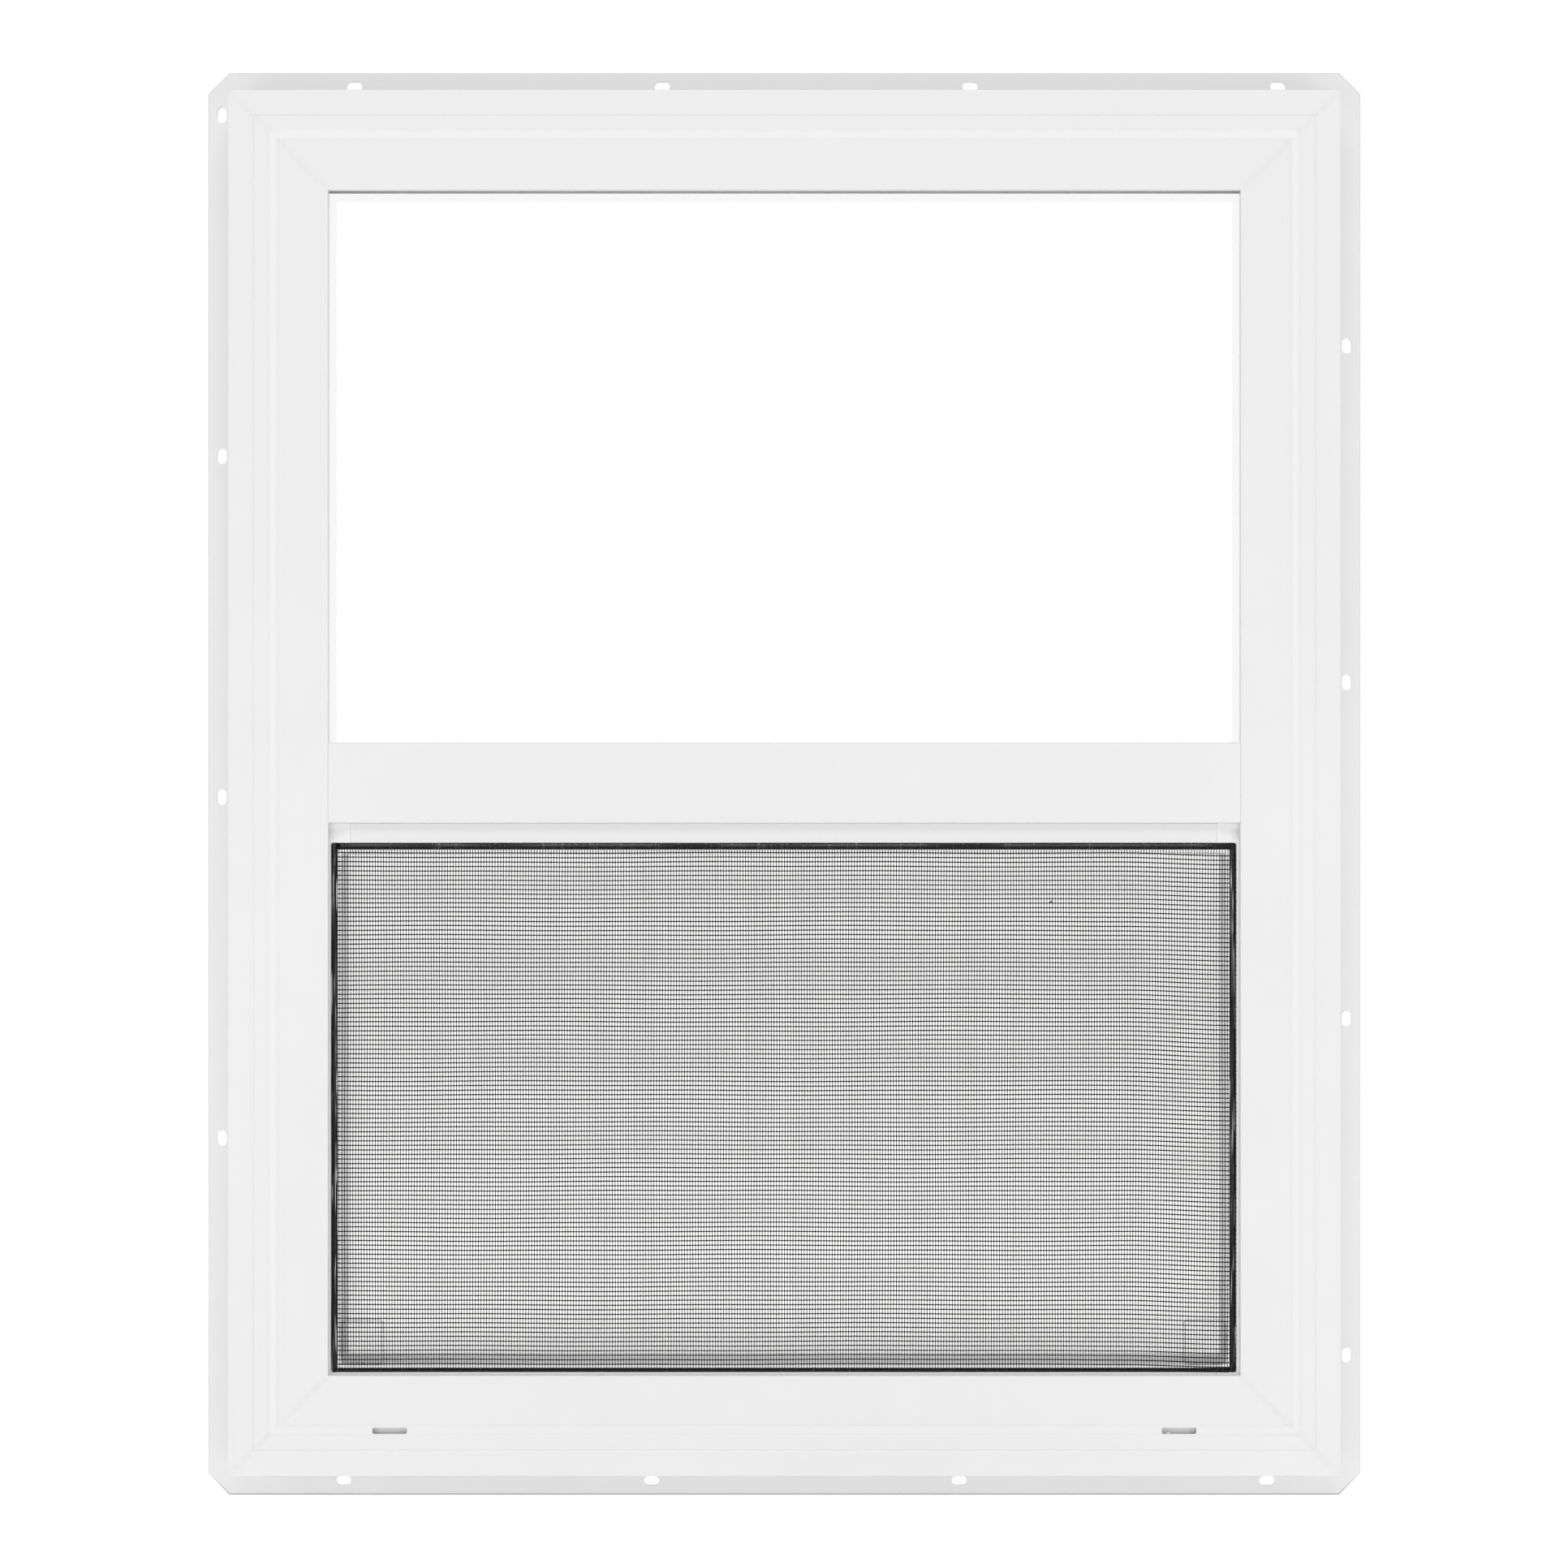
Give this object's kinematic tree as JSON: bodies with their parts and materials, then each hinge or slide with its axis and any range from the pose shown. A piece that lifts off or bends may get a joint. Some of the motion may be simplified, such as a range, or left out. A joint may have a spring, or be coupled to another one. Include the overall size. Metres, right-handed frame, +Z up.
{
  "type": "single hung window",
  "caption": "White vinyl single hung window with nailing fin, fixed upper glass, sliding lower sash with lock and lift, and a half insect screen outside.",
  "frame": {"origin": "middle of the sill's nailing fin, on its back face, which lies on the wall", "axes": "+Z up, +Y from outdoors to indoors (the fin's back faces +Y), +X to the right seen from outdoors"},
  "size_m": [0.642, 0.0825, 0.792],
  "materials": {
    "frame_vinyl": "satin extruded white vinyl",
    "sash_vinyl": "satin extruded white vinyl",
    "clear_glass": "clear float glass",
    "spacer_metal": "mill aluminium",
    "lock_enamel": "white enamel on die-cast zinc",
    "seal_grey": "grey pile and soft vinyl",
    "screen_bar_enamel": "white baked enamel on roll-formed aluminium",
    "screen_corner_plastic": "moulded white plastic",
    "spline_black": "black foamed vinyl cord",
    "screen_fibreglass": "charcoal vinyl-coated glass-fibre mesh",
    "tab_clear_plastic": "clear flexible plastic"
  },
  "bodies": {
    "root": {"frame_head": "frame_vinyl", "frame_jamb_left": "frame_vinyl", "frame_jamb_right": "frame_vinyl", "frame_sill": "frame_vinyl", "meeting_rail": "frame_vinyl", "sash_bead_head": "sash_vinyl", "sash_bead_left": "sash_vinyl", "sash_bead_right": "sash_vinyl", "sash_bead_sill": "sash_vinyl", "sash_bottom_rail": "sash_vinyl", "sash_glass_inner": "clear_glass", "sash_glass_outer": "clear_glass", "sash_glass_spacer": "spacer_metal", "sash_lift": "sash_vinyl", "sash_lock_base": "lock_enamel", "sash_lock_keeper": "lock_enamel", "sash_lock_lever": "lock_enamel", "sash_stile_left": "sash_vinyl", "sash_stile_right": "sash_vinyl", "sash_top_rail": "sash_vinyl", "screen_bar_bottom": "screen_bar_enamel", "screen_bar_left": "screen_bar_enamel", "screen_bar_right": "screen_bar_enamel", "screen_bar_top": "screen_bar_enamel", "screen_corner_bottom_left": "screen_corner_plastic", "screen_corner_bottom_right": "screen_corner_plastic", "screen_corner_top_left": "screen_corner_plastic", "screen_corner_top_right": "screen_corner_plastic", "screen_mesh": "screen_fibreglass", "screen_pull_tab_left": "tab_clear_plastic", "screen_pull_tab_right": "tab_clear_plastic", "screen_spline_bottom": "spline_black", "screen_spline_left": "spline_black", "screen_spline_right": "spline_black", "screen_spline_top": "spline_black", "upper_bead_head": "sash_vinyl", "upper_bead_left": "sash_vinyl", "upper_bead_right": "sash_vinyl", "upper_bead_sill": "sash_vinyl", "upper_glass_inner": "clear_glass", "upper_glass_outer": "clear_glass", "upper_glass_spacer": "spacer_metal", "weatherstrip_pile": "seal_grey", "weatherstrip_sill": "seal_grey"}
  },
  "joints": []
}
